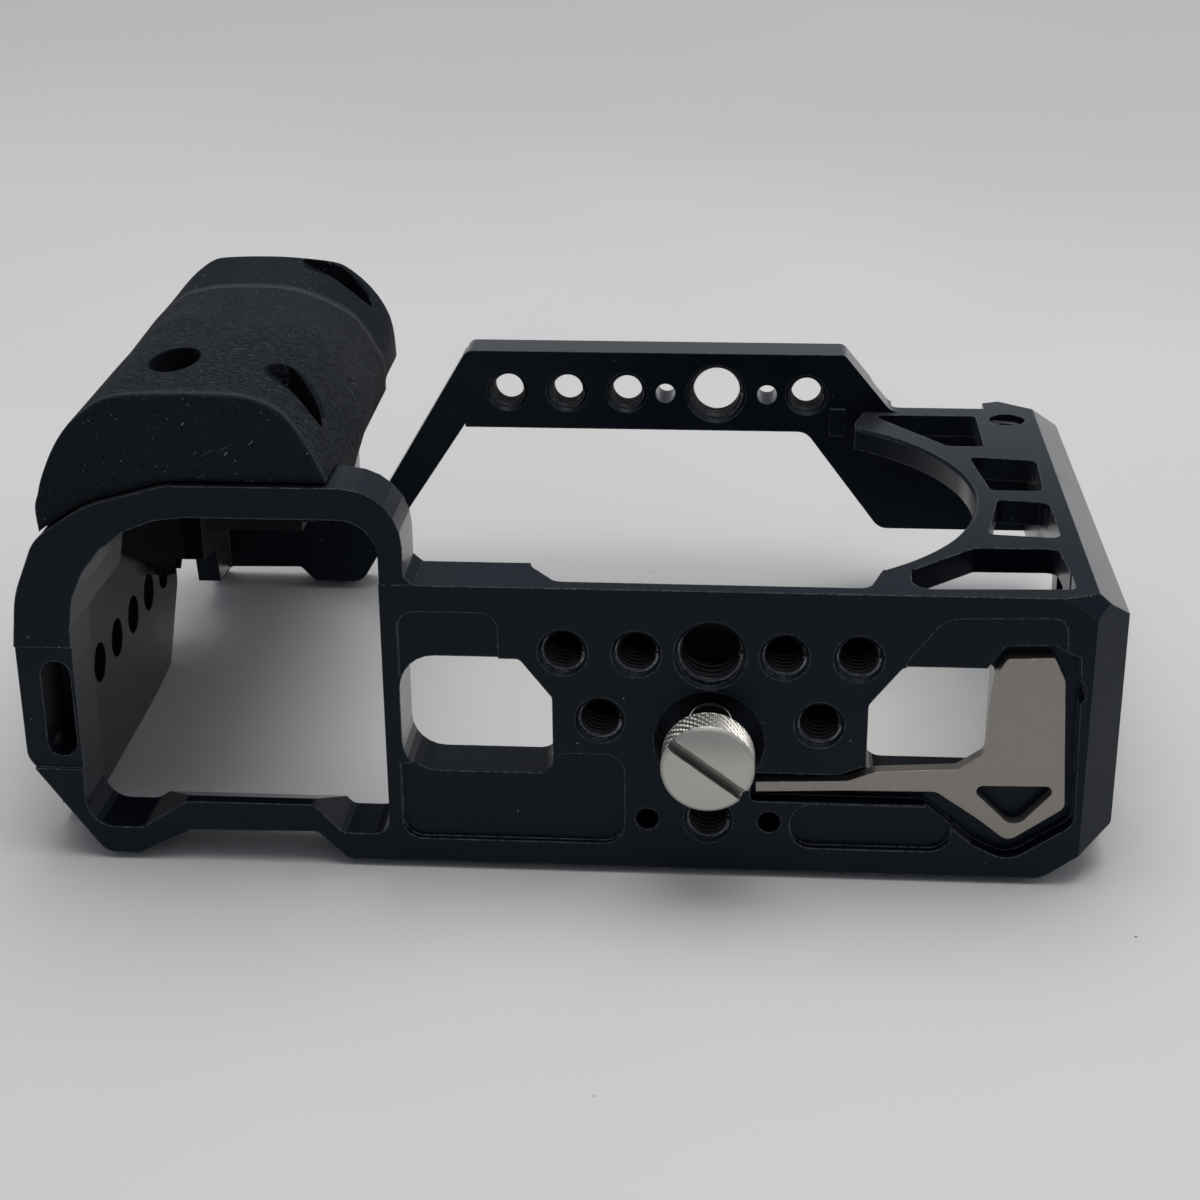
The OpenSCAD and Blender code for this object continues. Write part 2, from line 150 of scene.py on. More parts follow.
def mix_color(tree, mask, first, second):
    """Mixes two colours, each a socket or a plain (r, g, b)."""
    node = add_node(tree, "ShaderNodeMix", data_type="RGBA")
    tree.links.new(mask, node.inputs[0])
    for slot, color in ((6, first), (7, second)):
        if isinstance(color, tuple):
            node.inputs[slot].default_value = (*color, 1)
        else:
            tree.links.new(color, node.inputs[slot])
    return node.outputs[2]


def object_place(tree, stretch=(1, 1, 1)):
    """Object coordinates in metres, stretched per axis."""
    place = add_node(tree, "ShaderNodeTexCoord")
    scale = add_node(tree, "ShaderNodeMapping", Scale=stretch)
    tree.links.new(place.outputs["Object"], scale.inputs[0])
    return scale.outputs[0]


def noise_at(tree, place, scale, detail=2.0, roughness=0.5):
    node = add_node(tree, "ShaderNodeTexNoise", Scale=scale, Detail=detail, Roughness=roughness)
    tree.links.new(place, node.inputs["Vector"])
    return node.outputs["Fac"]


def start_group(name, inputs, outputs):
    """A shader group: inputs and outputs are (name, kind, value). Returns it and its two ends."""
    group = bpy.data.node_groups.new(name, "ShaderNodeTree")
    for in_out, sockets in (("INPUT", inputs), ("OUTPUT", outputs)):
        for socket_name, kind, value in sockets:
            socket = group.interface.new_socket(socket_name, in_out=in_out,
                                                socket_type="NodeSocket" + kind)
            if value is not None:
                socket.default_value = value
    return group, group.nodes.new("NodeGroupInput"), group.nodes.new("NodeGroupOutput")


def use_group(tree, group, **values):
    node = tree.nodes.new("ShaderNodeGroup")
    node.node_tree = group
    for name, value in values.items():
        node.inputs[name.replace("_", " ")].default_value = value
    return node


print("helpers ready")

# %% [markdown]
# ## Effects that several finishes share
# Three groups are built once. Worn edges come from the Bevel node: where its rounded normal turns
# away from the flat one, there is an edge, and a noise breaks the line up. The same edge mask also
# carries painted highlights along the frame's edges. The frame is cut into sections at its corners,
# and the flat joints between them must not look like edge wear, so a mask keeps the effect off
# those planes. Dust is a few cells of a Voronoi pattern, and the fine grain is a noise that a Bump
# node turns into the tooth of a blasted surface.

# %% Worn and lit edges
# each joint plane: axis, place in mm, half width in mm, and the range of X in mm where it counts
JOINT_PLANES = (("X", -46.6, 0.5, -200, 200), ("Y", 9.5, 0.7, 23, 200), ("Y", 9.5, 0.7, -200, -93),
                ("X", 53.2, 0.3, -200, 200), ("Y", 84.0, 0.7, 20, 200),
                ("X", -45.2, 0.5, -200, 200))
worn_and_lit_edges, group_in, group_out = start_group(
    "worn_and_lit_edges", (("Width", "Float", 0.0003), ("Amount", "Float", 1.0)),
    (("Mask", "Float", None), ("Normal", "Vector", None)))
bevel = add_node(worn_and_lit_edges, "ShaderNodeBevel", samples=4)
worn_and_lit_edges.links.new(group_in.outputs["Width"], bevel.inputs["Radius"])
flat = add_node(worn_and_lit_edges, "ShaderNodeNewGeometry")
place = add_node(worn_and_lit_edges, "ShaderNodeTexCoord")
apart = add_node(worn_and_lit_edges, "ShaderNodeSeparateXYZ")
worn_and_lit_edges.links.new(place.outputs["Object"], apart.inputs[0])
away = None
for axis, spot, half, x_low, x_high in JOINT_PLANES:
    offset = math_node(worn_and_lit_edges, "SUBTRACT", apart.outputs[axis], spot * MM)
    distance = math_node(worn_and_lit_edges, "ABSOLUTE", offset)
    clear = ramp(worn_and_lit_edges, distance, half * 0.8 * MM, half * MM)
    below = math_node(worn_and_lit_edges, "LESS_THAN", apart.outputs["X"], x_low * MM)
    above = math_node(worn_and_lit_edges, "GREATER_THAN", apart.outputs["X"], x_high * MM)
    clear = math_node(worn_and_lit_edges, "MAXIMUM", clear, math_node(worn_and_lit_edges, "MAXIMUM", below, above))
    away = clear if away is None else math_node(worn_and_lit_edges, "MULTIPLY", away, clear)
soft_normal = add_node(worn_and_lit_edges, "ShaderNodeMix", data_type="VECTOR")
worn_and_lit_edges.links.new(away, soft_normal.inputs[0])
worn_and_lit_edges.links.new(flat.outputs["Normal"], soft_normal.inputs[4])
worn_and_lit_edges.links.new(bevel.outputs[0], soft_normal.inputs[5])
dot = add_node(worn_and_lit_edges, "ShaderNodeVectorMath", operation="DOT_PRODUCT")
worn_and_lit_edges.links.new(flat.outputs["True Normal"], dot.inputs[0])
worn_and_lit_edges.links.new(bevel.outputs[0], dot.inputs[1])
turned = opposite(worn_and_lit_edges, dot.outputs["Value"])
edge = ramp(worn_and_lit_edges, turned, 0.02, 0.16)
ragged = noise_at(worn_and_lit_edges, object_place(worn_and_lit_edges), 1700, 3, 0.65)
rough_line = ramp(worn_and_lit_edges, ragged, 0.40, 0.60, 0.15, 1.0)
mask = product(worn_and_lit_edges, edge, rough_line, away)
mask = math_node(worn_and_lit_edges, "MULTIPLY", mask, group_in.outputs["Amount"], clamp=True)
worn_and_lit_edges.links.new(mask, group_out.inputs["Mask"])
worn_and_lit_edges.links.new(soft_normal.outputs[1], group_out.inputs["Normal"])
print("worn_and_lit_edges:", len(worn_and_lit_edges.nodes), "nodes")

# %% Dust and lint
# A speck lies where the distance to a cell's point is low, and only in a few cells.
dust, group_in, group_out = start_group(
    "dust", (("Scale", "Float", 700.0), ("Share", "Float", 0.06), ("Size", "Float", 0.12)),
    (("Mask", "Float", None),))
cells = add_node(dust, "ShaderNodeTexVoronoi")
dust.links.new(object_place(dust), cells.inputs["Vector"])
dust.links.new(group_in.outputs["Scale"], cells.inputs["Scale"])
spot = math_node(dust, "LESS_THAN", cells.outputs["Distance"], group_in.outputs["Size"])
tone = add_node(dust, "ShaderNodeSeparateColor")
dust.links.new(cells.outputs["Color"], tone.inputs[0])
few = math_node(dust, "LESS_THAN", tone.outputs[0], group_in.outputs["Share"])
dust.links.new(product(dust, tone.outputs[1], spot, few), group_out.inputs["Mask"])
print("dust:", len(dust.nodes), "nodes")

# %% Fine grain
# Height is the tooth itself, and Blotch is a slow change from place to place.
grain, group_in, group_out = start_group(
    "grain", (("Scale", "Float", 5000.0), ("Stretch", "Vector", (1, 1, 1))),
    (("Height", "Float", None), ("Blotch", "Float", None)))
place = add_node(grain, "ShaderNodeTexCoord")
stretched = add_node(grain, "ShaderNodeVectorMath", operation="MULTIPLY")
grain.links.new(place.outputs["Object"], stretched.inputs[0])
grain.links.new(group_in.outputs["Stretch"], stretched.inputs[1])
fine = add_node(grain, "ShaderNodeTexNoise", Detail=3.0, Roughness=0.6)
grain.links.new(stretched.outputs[0], fine.inputs["Vector"])
grain.links.new(group_in.outputs["Scale"], fine.inputs["Scale"])
grain.links.new(fine.outputs["Fac"], group_out.inputs["Height"])
grain.links.new(noise_at(grain, stretched.outputs[0], 60, 3, 0.6), group_out.inputs["Blotch"])
print("grain:", len(grain.nodes), "nodes")

# %% [markdown]
# ## Recipe of a hard finish
# Nearly every metal and plastic piece gets the same layers in its own measure: a patchy colour,
# bare edges, a little dust and a tooth. On the frame the bare edges are also painted highlights.
# Anodised aluminium also looks paler where it is seen at a low angle, as blasted metal does: it
# gets a coat there and its colour is painted paler as a painted sheen, and the Layer Weight node
# tells where that is.

# %% Metal finish
LOW_ANGLE = (0.64, 0.78)  # Facing at which the sheen starts and is full
PAINTED_SHEEN_COLOR = (0.035, 0.037, 0.041)


def bump(tree, shader, height, strength, distance, normal=None):
    node = add_node(tree, "ShaderNodeBump", Strength=strength, Distance=distance)
    tree.links.new(height, node.inputs["Height"])
    if normal is not None:
        tree.links.new(normal, node.inputs["Normal"])
    tree.links.new(node.outputs[0], shader.inputs["Normal"])


def finish_metal(name, color, edge_wear_and_highlight, roughness, specular, metallic=0.0, width=0.3, amount=0.6,
                 grain_scale=5000, grain_stretch=(1, 1, 1), grain_strength=0.25, specks=0.03,
                 speck_color=(0.35, 0.36, 0.38), tint=(1, 1, 1), sheen=0.0, mottle=1.4):
    """A metal or hard finish: colour, edge wear that can carry painted highlights, blasted tooth,
    dust, and a coat with a painted sheen at low angles.
    """
    material, tree, shader = new_material(name, color, roughness, metallic, specular)
    shader.inputs["Specular Tint"].default_value = (*tint, 1)
    edges = use_group(tree, worn_and_lit_edges, Width=width * MM, Amount=amount)
    tooth = use_group(tree, grain, Scale=grain_scale, Stretch=grain_stretch)
    specking = use_group(tree, dust, Scale=900.0, Share=specks, Size=0.09)
    darker, lighter, mottled = (tuple(c * share for c in color) for share in (0.8, 1.25, mottle))
    patchy = mix_color(tree, tooth.outputs["Blotch"], darker, lighter)
    patchy = mix_color(tree, ramp(tree, tooth.outputs["Height"], 0.42, 0.62), patchy, mottled)
    if sheen:
        facing = add_node(tree, "ShaderNodeLayerWeight", Blend=0.5)
        low_angle = ramp(tree, facing.outputs["Facing"], *LOW_ANGLE)
        shader.inputs["Coat Roughness"].default_value = 0.28
        tree.links.new(math_node(tree, "MULTIPLY", low_angle, sheen), shader.inputs["Coat Weight"])
        # painted sheen: the colour is made paler where the surface is seen at a low angle
        patchy = mix_color(tree, low_angle, patchy, PAINTED_SHEEN_COLOR)
    # edge colour: wear, and on the frame also a painted highlight along the edges
    edge_worn_and_lit = mix_color(tree, edges.outputs["Mask"], patchy, edge_wear_and_highlight)
    dusty = mix_color(tree, specking.outputs["Mask"], edge_worn_and_lit, speck_color)
    tree.links.new(dusty, shader.inputs["Base Color"])
    dull = ramp(tree, tooth.outputs["Blotch"], 0.3, 0.7, roughness * 0.88, roughness * 1.12)
    tree.links.new(dull, shader.inputs["Roughness"])
    bump(tree, shader, tooth.outputs["Height"], grain_strength, 0.02 * MM, edges.outputs["Normal"])
    return material


print("low angles start at", LOW_ANGLE[0])

# %% [markdown]
# ## Floor and light
# The cage lies on a sheet of pale paper that rises a little towards the back, and the paper's
# colour is painted darker there as painted shade. One wide lamp hangs nearly overhead, a weak one
# fills the cable side, and a very wide sun stands for the ceiling, so shadows are short and soft.

# %% Floor
FLOOR_RISE, FLOOR_RUN = 9.4, 80.5  # mm, from the bottom plate's edge to the far wall's feet
FLOOR_SLOPE = math.atan2(FLOOR_RISE, FLOOR_RUN)
PAPER_DARK, PAPER_LIGHT, PAPER_FAR_SHADE = (0.60, 0.60, 0.59), (0.64, 0.64, 0.635), (0.44, 0.44, 0.45)
bpy.ops.object.select_all(action="DESELECT")
bpy.ops.mesh.primitive_plane_add(size=6, location=(0, 9.5 * MM, -REAR_TO_ROW * MM),
                                 rotation=(FLOOR_SLOPE, 0, 0))
floor = bpy.context.object
floor.name = "floor"
paper, tree, shader = new_material("paper", (0.62, 0.62, 0.61), 0.75, specular=0.25)
place = object_place(tree)
marks = use_group(tree, dust, Scale=150.0, Share=0.12, Size=0.035)
scuffs = ramp(tree, noise_at(tree, object_place(tree, (1, 3.5, 1)), 70, 4, 0.7), 0.70, 0.76)
clouds = ramp(tree, noise_at(tree, place, 6, 3, 0.5), 0.3, 0.7)
sheet_color = mix_color(tree, clouds, PAPER_DARK, PAPER_LIGHT)
sheet_color = mix_color(tree, product(tree, scuffs, 0.16), sheet_color, (0.3, 0.3, 0.3))
far_off = add_node(tree, "ShaderNodeSeparateXYZ")
tree.links.new(place, far_off.inputs[0])
backwards = math_node(tree, "MULTIPLY_ADD", far_off.outputs["X"], 0.25, far_off.outputs["Y"])
# painted shade: the paper's colour turns darker towards the back
sheet_color = mix_color(tree, ramp(tree, backwards, 0.16, 0.42, 0.0, 0.6), sheet_color, PAPER_FAR_SHADE)
marked = mix_color(tree, marks.outputs["Mask"], sheet_color, (0.12, 0.12, 0.13))
tree.links.new(marked, shader.inputs["Base Color"])
bump(tree, shader, noise_at(tree, place, 900, 4, 0.6), 0.15, 0.1 * MM)
floor.data.materials.append(paper)
print("floor rises", round(math.degrees(FLOOR_SLOPE), 1), "degrees")

# %% Light
world = bpy.data.worlds.new("studio")
bpy.context.scene.world = world
world.use_nodes = True
tree = world.node_tree
background = tree.nodes["Background"]
background.inputs["Color"].default_value = (0.54, 0.575, 0.635, 1)
background.inputs["Strength"].default_value = 0.40


def lamp(name, place, aim, size, power, tint=(1, 1, 1)):
    bpy.ops.object.light_add(type="AREA", location=place)
    light = bpy.context.object
    light.name = name
    light.data.shape = "RECTANGLE"
    light.data.size, light.data.size_y = size
    light.data.energy = power
    light.data.color = tint
    light.rotation_euler = (Vector(aim) - Vector(place)).to_track_quat("-Z", "Y").to_euler()
    return light


lamp("softbox", (0.05, 0.12, 1.2), (0, 0.06, 0), (1.0, 1.0), 9.8, (1, 0.987, 0.96))
lamp("fill", (0.9, -0.1, 0.6), (0, 0.05, 0), (0.6, 0.6), 1.2, (0.97, 0.98, 1))
bpy.ops.object.light_add(type="SUN", location=(0, 0, 2))
sky = bpy.context.object
sky.name = "ceiling_light"
sky.data.energy = 0.62
sky.data.angle = math.radians(80)
sky.rotation_euler = (math.radians(-14), 0, 0)

# %% [markdown]
# ## Finishes of the frame
# Black anodising is a thin dark skin on blasted aluminium. Seen straight on it is almost black, a
# little blue, and paler at low angles by a painted sheen; its edges wear to a dull grey first, and
# that grey is also painted as highlights along the edges. The other solids that keep their CAD
# shape
# get their finish here as well: the stowed key in satin steel, magnets, screws, washer and sheet.

# %% Anodised aluminium and the other hard finishes
# the bare edge colour is partly wear and partly a painted highlight along the frame's edges
BLACK_ANODISED, BARE_EDGE_AND_HIGHLIGHT = (0.0022, 0.0036, 0.0074), (0.26, 0.265, 0.275)
KEY_STEEL, KEY_EDGE = (0.30, 0.272, 0.243), (0.75, 0.72, 0.68)
anodised = finish_metal("anodised_aluminium", BLACK_ANODISED, BARE_EDGE_AND_HIGHLIGHT, 0.33, 0.21,
                        width=0.3, amount=0.9, specks=0.07, tint=(0.70, 0.85, 1.0), sheen=0.9)
key_finish = finish_metal("satin_key_steel", KEY_STEEL, KEY_EDGE, 0.42, 0.5, metallic=0.85,
                          width=0.15, amount=0.9, grain_scale=4500, grain_stretch=(1.6, 1, 0.5),
                          grain_strength=0.5, specks=0.0, mottle=1.1)
magnet_finish = finish_metal("magnet_nickel", (0.42, 0.42, 0.43), (0.6, 0.6, 0.6), 0.3, 0.5,
                             metallic=1.0, amount=0.3)
steel_finish = finish_metal("black_oxide_steel", (0.03, 0.03, 0.033), (0.2, 0.2, 0.2), 0.4, 0.5,
                            metallic=0.5, amount=0.6)
nylon = finish_metal("black_nylon", (0.012, 0.012, 0.013), (0.05, 0.05, 0.05), 0.55, 0.35,
                     amount=0.3, grain_scale=2500)
sheet_rubber = finish_metal("sheet_rubber", (0.006, 0.006, 0.007), (0.02, 0.02, 0.02), 0.75, 0.2,
                            amount=0.4, grain_scale=2500, grain_strength=0.5, specks=0.1)
core_plastic = finish_metal("core_plastic", (0.003, 0.0035, 0.005), (0.01, 0.01, 0.01), 0.6, 0.1,
                            amount=0.4, grain_scale=2500)
FRAME_SECTIONS = ("bottom_plate", "near_grip_loop", "cable_side_plate", "lens_web", "top_plate",
                  "far_grip_wall", "grip_side_plate")
for finish, names in ((anodised, FRAME_SECTIONS), (key_finish, ("screwdriver_key",)),
                      (magnet_finish, ("key_magnets",)), (steel_finish, ("grip_screws",)),
                      (nylon, ("screw_washer",)), (sheet_rubber, ("camera_pads",)),
                      (core_plastic, ("grip_core",))):
    for name in names:
        nodes[name].data.materials.clear()
        nodes[name].data.materials.append(finish)
        print(name, "in", finish.name)

# %% [markdown]
# ## Threads
# Every accessory hole is a plain bore in the solids. A thread is a ridge that winds along it, so
# one short profile is drawn beside the axis and a Screw modifier winds it up. Each hole then gets
# a copy with its own mesh, turned to the hole's axis.

# %% Ridge of a thread
# root radius, crest radius and pitch in mm of the two accessory threads
QUARTER = (3.1, 2.6, 1.27)
THREE_EIGHTHS = (4.7, 4.05, 1.5875)
STEPS_PER_TURN = 40
thread_finish = finish_metal("threaded_aluminium", (0.03, 0.032, 0.036), (0.3, 0.3, 0.31), 0.3, 0.6,
                             metallic=0.6, width=0.08, amount=0.7, specks=0.02)


def keep_place(piece):
    """Moves a piece's place and turn into its mesh."""
    bpy.ops.object.select_all(action="DESELECT")
    bpy.context.view_layer.objects.active = piece
    piece.select_set(True)
    bpy.ops.object.transform_apply(location=True, rotation=True, scale=True)


def thread_ridge(name, root_r, crest_r, pitch, length):
    """A closed ridge that winds along Z from 0 to length, from outside root_r in to crest_r."""
    bpy.ops.object.select_all(action="DESELECT")
    bpy.ops.mesh.primitive_plane_add(size=1, location=(0, 0, 0), rotation=(math.pi / 2, 0, 0))
    ridge = bpy.context.object
    ridge.name = name
    keep_place(ridge)
    half_root, half_crest = pitch * 0.47, pitch * 0.08
    for corner in ridge.data.vertices:
        outside = corner.co.x > 0
        radius, half = (root_r + 0.06, half_root) if outside else (crest_r, half_crest)
        corner.co = (radius * MM, 0, math.copysign(half, corner.co.z) * MM)
    bpy.ops.object.mode_set(mode="EDIT")
    bpy.ops.mesh.select_all(action="SELECT")
    bpy.ops.mesh.delete(type="ONLY_FACE")
    bpy.ops.object.mode_set(mode="OBJECT")
    wind = ridge.modifiers.new("wind", "SCREW")
    wind.axis = "Z"
    wind.iterations = max(1, int((length - pitch) / pitch))
    wind.screw_offset = pitch * MM
    wind.steps = wind.render_steps = STEPS_PER_TURN
    bpy.ops.object.modifier_apply(modifier="wind")
    bpy.ops.object.mode_set(mode="EDIT")
    bpy.ops.mesh.select_all(action="SELECT")
    bpy.ops.mesh.remove_doubles(threshold=1e-7)
    bpy.ops.mesh.fill_holes(sides=4)
    bpy.ops.mesh.select_all(action="SELECT")
    bpy.ops.mesh.normals_make_consistent(inside=False)
    bpy.ops.object.mode_set(mode="OBJECT")
    low = min(v.co.z for v in ridge.data.vertices)
    high = max(v.co.z for v in ridge.data.vertices)
    for corner in ridge.data.vertices:
        corner.co.z += length * MM / 2 - (low + high) / 2
    ridge.data.materials.append(thread_finish)
    bpy.ops.object.select_all(action="DESELECT")
    return ridge


quarter_ridge = thread_ridge("quarter_ridge", *QUARTER, 9.3)
large_ridge = thread_ridge("large_ridge", *THREE_EIGHTHS, 9.3)
short_quarter_ridge = thread_ridge("short_quarter_ridge", *QUARTER, 7.1)
short_large_ridge = thread_ridge("short_large_ridge", *THREE_EIGHTHS, 7.1)
side_ridge = thread_ridge("side_ridge", *QUARTER, 5)
corner_ridge = thread_ridge("corner_ridge", *QUARTER, 4)
RIDGES = (quarter_ridge, large_ridge, short_quarter_ridge, short_large_ridge, side_ridge,
          corner_ridge)
print("turns:", len(quarter_ridge.data.vertices) // (4 * STEPS_PER_TURN))

# %% A thread in every hole
ALONG_Y = (-math.pi / 2, 0, 0)
ALONG_X = (0, math.pi / 2, 0)
HOLE_PITCH = 10.4
BASE_Y = 0.1  # just inside the mouth of the bottom plate's holes
BAR_X, BAR_Y, BAR_Z = -1.2, 84.05, 12.65  # the large hole of the top bar, at its inner face
HOLES = [(quarter_ridge, "base_thread", (x, BASE_Y, z), ALONG_Y) for x, z in (
    (-2 * HOLE_PITCH, 0), (-HOLE_PITCH, 0), (HOLE_PITCH, 0), (2 * HOLE_PITCH, 0),
    (-1.5 * HOLE_PITCH, -HOLE_PITCH), (1.5 * HOLE_PITCH, -HOLE_PITCH), (0, -2.5 * HOLE_PITCH))]
HOLES += [(large_ridge, "base_large_thread", (0, BASE_Y, 0), ALONG_Y)]
HOLES += [(short_quarter_ridge, "bar_thread", (BAR_X + i * HOLE_PITCH, BAR_Y, BAR_Z), ALONG_Y)
          for i in (-1.5, 1.5, -2.5, -3.5)]
HOLES += [(short_large_ridge, "bar_large_thread", (BAR_X, BAR_Y, BAR_Z), ALONG_Y)]
HOLES += [(side_ridge, "side_thread", (-98.7, 18.9 + i * 9.5, -11.6), ALONG_X) for i in range(5)]
HOLES += [(corner_ridge, "corner_thread", (48.6, 80.6, 5.9), (0, 0, 0))]
for number, (ridge, name, place, turn) in enumerate(HOLES):
    copy = bpy.data.objects.new(f"{name}_{number}", ridge.data.copy())
    bpy.context.collection.objects.link(copy)
    copy.location = Vector(place) * MM
    copy.rotation_euler = turn
    keep_place(copy)
    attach(copy, "cage")
for ridge in RIDGES:
    bpy.data.objects.remove(ridge)
print(len(HOLES), "threads")

# %% [markdown]
# ## Camera screw
# The captive screw has a knurled head with a wide slot. The head starts as a cylinder whose side
# is drawn up ring by ring. The knurl is two sets of crossing ridges, so the points between them
# are picked by counting round and up, and pressed in towards the axis. The slot is cut last, and
# the screw's own thread is one more wound ridge.

# %% Screw body
SCREW_Z = -13.4
FACE_Y = -9.0
HEAD_R = 6.6
COLUMNS, ROWS = 144, 13  # grid of the knurl, round the head and along it
KNURL_LOW, KNURL_HIGH = 0.65, 4.85
# each ring: height above the slotted face and radius in mm
rings = [(0, HEAD_R - 0.62), (0.1, HEAD_R - 0.45), (0.55, HEAD_R - 0.02)]
for row in range(ROWS):
    rings.append((KNURL_LOW + (KNURL_HIGH - KNURL_LOW) * row / (ROWS - 1), HEAD_R))
rings += [(5.0, HEAD_R - 0.05), (5.2, HEAD_R - 0.45), (5.2, 2.6), (5.35, 2.4), (10.9, 2.4)]
rings += [(11.5, 3.05), (15.8, 3.05), (16.4, 2.5)]
bpy.ops.object.select_all(action="DESELECT")
bpy.ops.mesh.primitive_circle_add(vertices=COLUMNS, radius=rings[0][1] * MM, fill_type="NGON")
screw = bpy.context.object
screw.name = "knurled_screw"
bpy.ops.object.mode_set(mode="EDIT")
bpy.ops.mesh.select_all(action="SELECT")
for (last_height, last_r), (height, radius) in zip(rings, rings[1:]):
    step, wider = (height - last_height) * MM, radius / last_r
    bpy.ops.mesh.extrude_region_move(TRANSFORM_OT_translate={"value": (0, 0, step)})
    bpy.ops.transform.resize(value=(wider, wider, 1), center_override=(0, 0, height * MM))
bpy.ops.mesh.select_all(action="SELECT")
bpy.ops.mesh.normals_make_consistent(inside=False)
bpy.ops.object.mode_set(mode="OBJECT")
print("screw:", len(screw.data.vertices), "points,", len(rings), "rings")

# %% Knurl
# the points two steps from a ridge are pressed in most
for depth, steps in ((0.42, 2), (0.24, 1)):
    bpy.ops.object.mode_set(mode="EDIT")
    bpy.ops.mesh.select_mode(type="VERT")
    bpy.ops.mesh.select_all(action="DESELECT")
    bpy.ops.object.mode_set(mode="OBJECT")
    for corner in screw.data.vertices:
        height = corner.co.z / MM
        radius = math.hypot(corner.co.x, corner.co.y) / MM
        if radius < HEAD_R - 0.01 or not KNURL_LOW - 0.01 < height < KNURL_HIGH + 0.01:
            corner.select = False
            continue
        column = round(math.atan2(corner.co.y, corner.co.x) / (2 * math.pi) * COLUMNS)
        row = round((height - KNURL_LOW) / (KNURL_HIGH - KNURL_LOW) * (ROWS - 1))
        one_way, other_way = column + row, column - row
        to_ridge = min(one_way % 4, -one_way % 4, other_way % 4, -other_way % 4)
        corner.select = to_ridge == steps
    bpy.ops.object.mode_set(mode="EDIT")
    pressed = (HEAD_R - depth) / HEAD_R
    bpy.ops.transform.resize(value=(pressed, pressed, 1), center_override=(0, 0, 0))
    bpy.ops.object.mode_set(mode="OBJECT")
print("knurl pressed in")

# %% Slot
SLOT_WIDTH, SLOT_DEPTH, SLOT_ABOVE = 1.7, 1.55, 1.0
SLOT_TURN = math.radians(37)
bpy.ops.object.select_all(action="DESELECT")
bpy.ops.mesh.primitive_grid_add(x_subdivisions=36, y_subdivisions=1, size=1)
slot_cutter = bpy.context.object
slot_cutter.name = "slot_cutter"
for corner in slot_cutter.data.vertices:
    x = corner.co.x * 15
    ragged = 0.05 * noise.noise(Vector((x * 1.3, corner.co.y * 9, 2.7)))
    corner.co = Vector((x, corner.co.y * SLOT_WIDTH + ragged, -SLOT_ABOVE)) * MM
bpy.ops.object.mode_set(mode="EDIT")
bpy.ops.mesh.select_all(action="SELECT")
slot_pull = (SLOT_ABOVE + SLOT_DEPTH) * MM
bpy.ops.mesh.extrude_region_move(TRANSFORM_OT_translate={"value": (0, 0, slot_pull)})
bpy.ops.mesh.select_all(action="SELECT")
bpy.ops.mesh.normals_make_consistent(inside=False)
bpy.ops.object.mode_set(mode="OBJECT")
slot_cutter.rotation_euler = (0, 0, SLOT_TURN)
keep_place(slot_cutter)


def cut(piece, cutter):
    """Cuts the cutter out of the piece and removes the cutter."""
    bpy.ops.object.select_all(action="DESELECT")
    bpy.context.view_layer.objects.active = piece
    piece.select_set(True)
    away = piece.modifiers.new("away", "BOOLEAN")
    away.operation = "DIFFERENCE"
    away.solver = "EXACT"
    away.object = cutter
    bpy.ops.object.modifier_apply(modifier="away")
    bpy.data.objects.remove(cutter)


cut(screw, slot_cutter)
screw.rotation_euler = (-math.pi / 2, 0, 0)
screw.location = Vector((0, FACE_Y, SCREW_Z)) * MM
keep_place(screw)
bpy.ops.object.shade_smooth_by_angle(angle=math.radians(32))
print("screw with slot:", len(screw.data.polygons), "faces")

# %% Screw thread
screw_thread = thread_ridge("screw_thread", 2.75, 3.1, QUARTER[2], 5.0)
screw_thread.rotation_euler = ALONG_Y
screw_thread.location = Vector((0, FACE_Y + 11.2, SCREW_Z)) * MM
keep_place(screw_thread)
print("screw thread:", len(screw_thread.data.polygons), "faces")

# %% Screw finish
# Nickel plated steel: satin on the face, rough on the chamfer, dark in the pits and in the slot.
nickel, tree, shader = new_material("nickel_plated_steel", (0.52, 0.50, 0.46), 0.38, metallic=0.9)
edges = use_group(tree, worn_and_lit_edges, Width=0.12 * MM, Amount=0.7)
tooth = use_group(tree, grain, Scale=2600.0, Stretch=(1, 1, 1))
place = object_place(tree)
apart = add_node(tree, "ShaderNodeSeparateXYZ")
tree.links.new(place, apart.inputs[0])
up_from_axis = math_node(tree, "SUBTRACT", apart.outputs["Z"], SCREW_Z * MM)
x_square = math_node(tree, "POWER", apart.outputs["X"], 2.0)
z_square = math_node(tree, "POWER", up_from_axis, 2.0)
from_axis = math_node(tree, "SQRT", math_node(tree, "ADD", x_square, z_square))
in_pit = ramp(tree, from_axis, (HEAD_R - 0.34) * MM, (HEAD_R - 0.08) * MM, 1.0, 0.0)
behind_face = ramp(tree, apart.outputs["Y"], (FACE_Y + 0.5) * MM, (FACE_Y + 0.7) * MM)
in_slot = ramp(tree, apart.outputs["Y"], (FACE_Y + 0.25) * MM, (FACE_Y + 0.6) * MM)
inside = ramp(tree, from_axis, (HEAD_R - 0.7) * MM, (HEAD_R - 0.5) * MM, 1.0, 0.0)
patchy = mix_color(tree, tooth.outputs["Blotch"], (0.47, 0.45, 0.42), (0.60, 0.58, 0.54))
